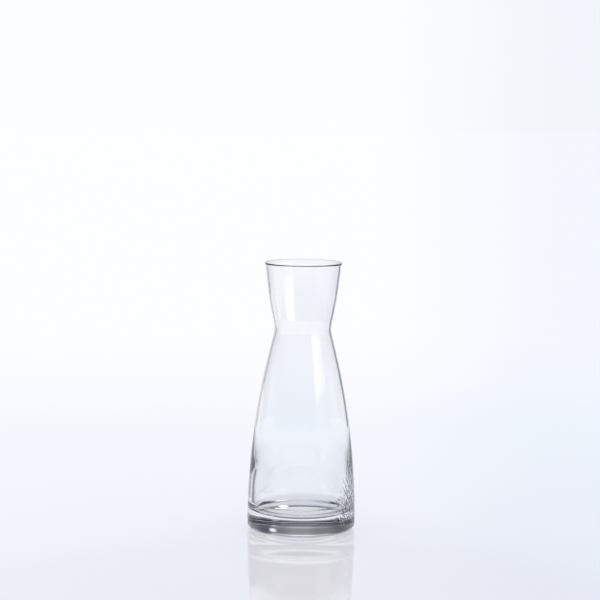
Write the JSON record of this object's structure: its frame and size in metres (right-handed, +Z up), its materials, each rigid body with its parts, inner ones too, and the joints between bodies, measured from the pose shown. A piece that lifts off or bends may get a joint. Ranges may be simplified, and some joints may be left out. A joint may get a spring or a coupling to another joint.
{
  "type": "water carafe",
  "caption": "Clear glass water carafe with a flared neck, a tight waist, a bell body and a thick round foot.",
  "frame": {"origin": "middle of the ring that the foot stands on, at table height", "axes": "+Z up along the axis of the carafe, out of its mouth; X and Y are alike"},
  "size_m": [0.0856, 0.0856, 0.212],
  "materials": {
    "clear_glass": "fire-polished clear soda-lime glass, smooth inside and out"
  },
  "bodies": {
    "root": {"carafe_glass": "clear_glass"}
  },
  "joints": []
}
